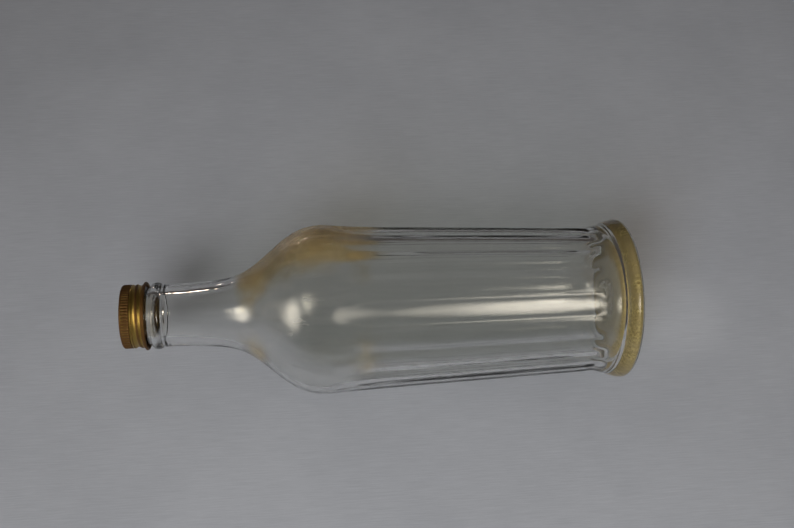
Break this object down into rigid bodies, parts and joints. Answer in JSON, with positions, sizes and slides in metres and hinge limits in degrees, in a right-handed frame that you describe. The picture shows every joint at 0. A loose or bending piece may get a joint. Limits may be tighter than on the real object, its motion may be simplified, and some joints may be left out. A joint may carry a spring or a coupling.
{
  "type": "glass oil bottle",
  "caption": "Tall clear glass oil bottle with a slim neck, a fluted tapering body, a flared foot and a small knurled brass screw cap.",
  "frame": {"origin": "middle of the foot ring's flat underside, with the bottle standing upright", "axes": "+Z along the bottle's axis, from the foot up to the cap; X and Y across it, with one ridge between two flutes 4.5 degrees from +X"},
  "size_m": [0.075, 0.075, 0.2233],
  "materials": {
    "glass": "gloss, slightly hazed inside by old oil",
    "cap_brass": "gold-lacquered tinplate, worn and tarnished",
    "liner_board": "matt pulpboard",
    "liner_paper": "waxed"
  },
  "bodies": {
    "bottle": {"bottle": "glass"},
    "liner": {"liner_backing": "liner_board", "liner_facing": "liner_paper"},
    "cap": {"screw_cap": "cap_brass"}
  },
  "joints": [
    {"name": "cap_lift", "type": "slide", "parent": "bottle", "child": "liner", "axis": [0, 0, 1], "range_m": [0, 0.0096]},
    {"name": "cap_turn", "type": "hinge", "parent": "liner", "child": "cap", "pos_m": [0, 0, 0.217], "axis": [0, 0, 1], "range_deg": [0, 1080]}
  ],
  "couplings": [
    {"joint": "cap_lift", "follows": "cap_turn", "m_per_rad": 0.00050532}
  ]
}
